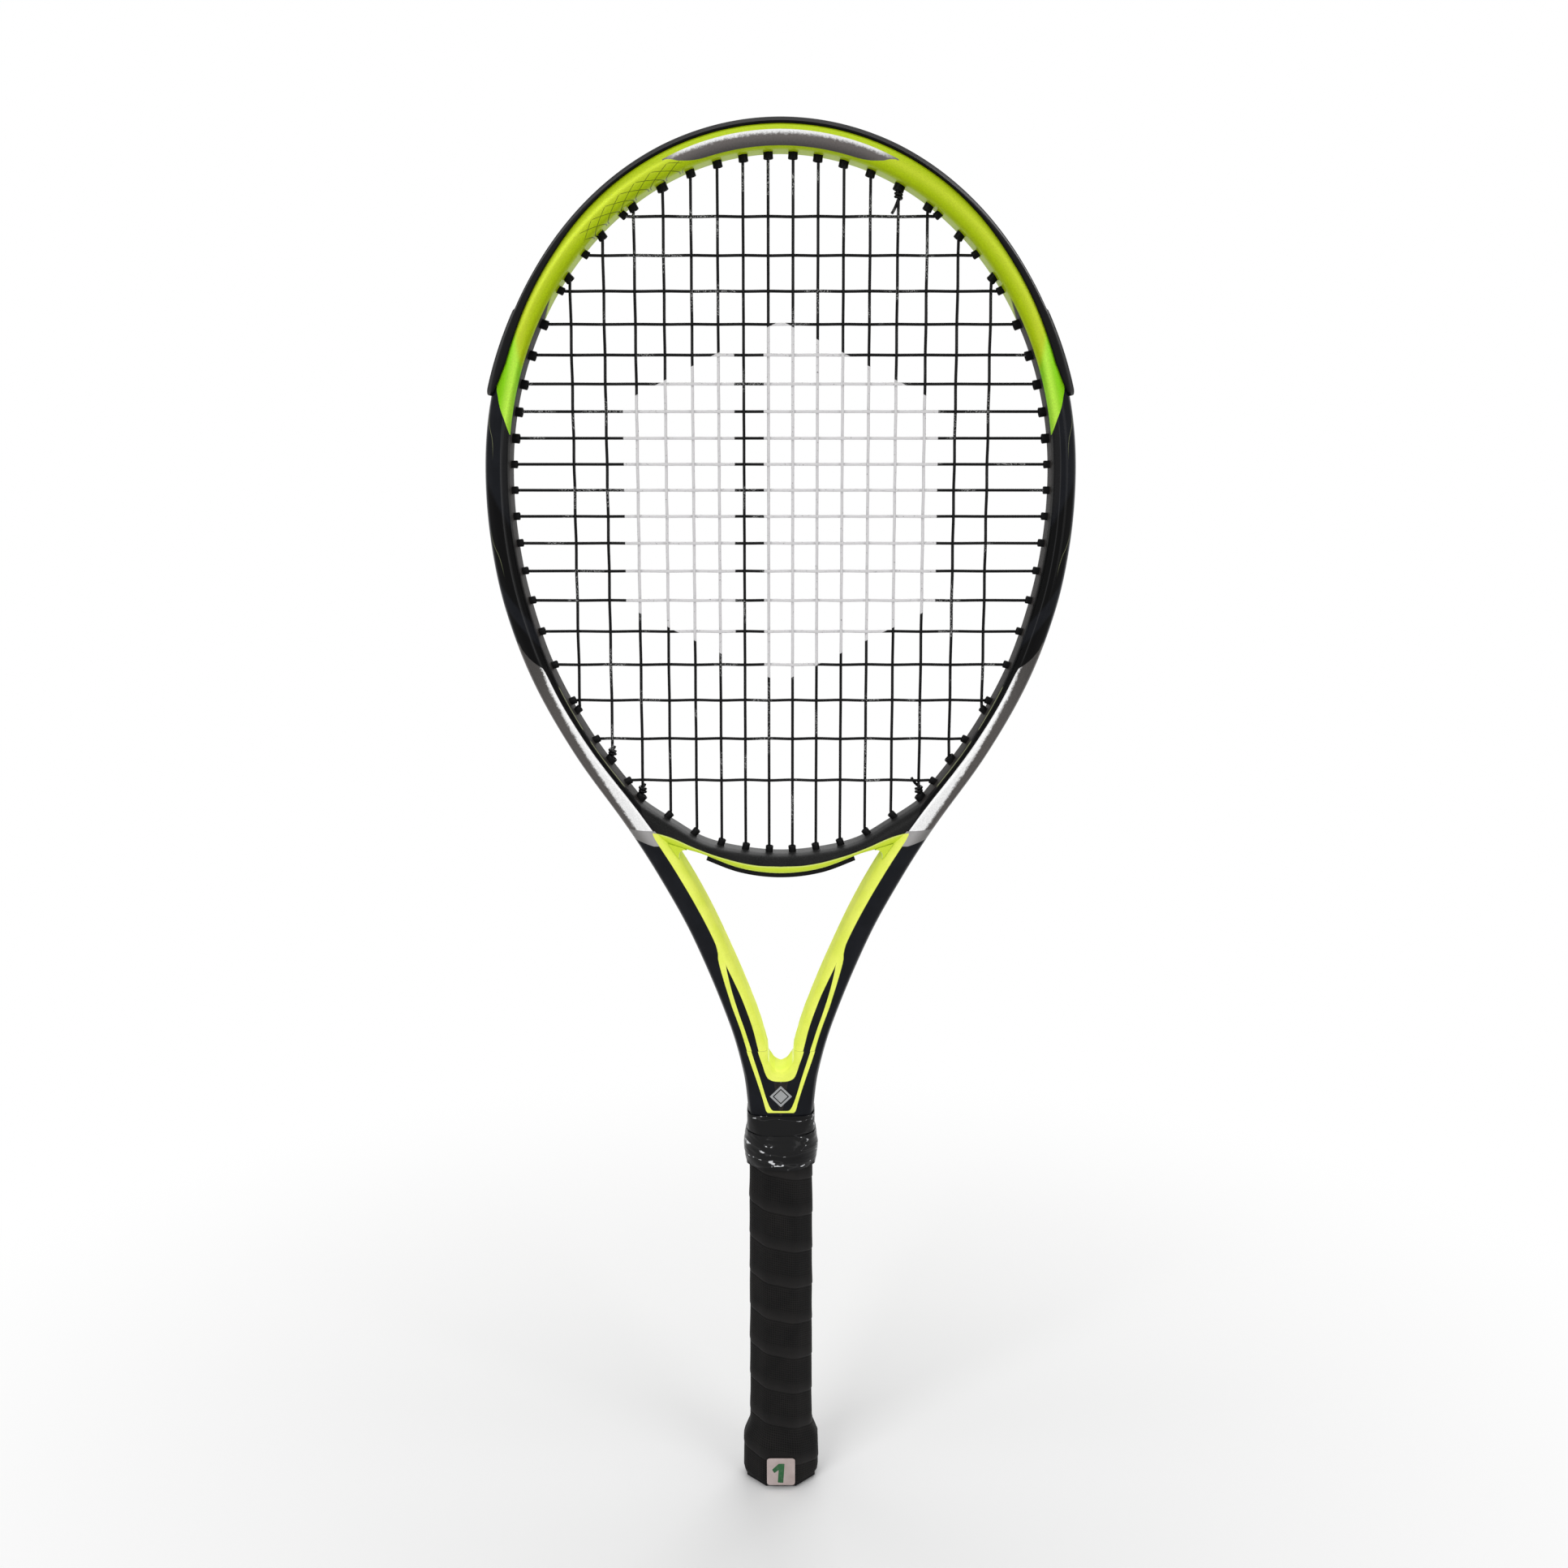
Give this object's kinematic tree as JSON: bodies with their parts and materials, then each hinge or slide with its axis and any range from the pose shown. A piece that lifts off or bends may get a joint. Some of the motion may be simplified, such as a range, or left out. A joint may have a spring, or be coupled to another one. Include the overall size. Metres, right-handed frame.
{
  "type": "frontenis racket",
  "caption": "Strung frontenis racket with a wide oval head, an open throat between two arms, and a wound grip with a flared butt.",
  "frame": {"origin": "centre of the butt's flat end", "axes": "+Z from the butt to the tip of the head, X across the head, Y square to the string bed with the front at -Y"},
  "size_m": [0.281, 0.0354, 0.69],
  "materials": {
    "frame_paint": "gloss paint on moulded composite",
    "bridge_paint": "satin paint on moulded composite",
    "bumper_plastic": "satin moulded nylon",
    "grommet_plastic": "satin moulded nylon",
    "bridge_grommet_plastic": "satin moulded nylon",
    "main_string_black": "glossy string",
    "cross_string_black": "glossy string",
    "handle_foam": "dull moulded foam",
    "cap_plastic": "satin moulded plastic",
    "staple_steel": "bright steel wire",
    "grip_black": "dull perforated synthetic leather",
    "tape_gloss": "glossy tape",
    "collar_rubber": "smooth rubber",
    "sticker_white": "satin label"
  },
  "bodies": {
    "root": {"frame_hairpin": "frame_paint", "throat_bridge": "bridge_paint", "head_bumper": "bumper_plastic", "side_grommet_strip_left": "grommet_plastic", "side_grommet_strip_right": "grommet_plastic", "shoulder_grommet_left": "grommet_plastic", "shoulder_grommet_right": "grommet_plastic", "bridge_grommet_strip": "bridge_grommet_plastic", "main_string": "main_string_black", "cross_string": "cross_string_black", "handle_pallet": "handle_foam", "butt_cap": "cap_plastic", "butt_staple_left": "staple_steel", "butt_staple_right": "staple_steel", "base_grip": "grip_black", "finishing_tape": "tape_gloss", "grip_collar": "collar_rubber", "size_sticker": "sticker_white"}
  },
  "joints": []
}
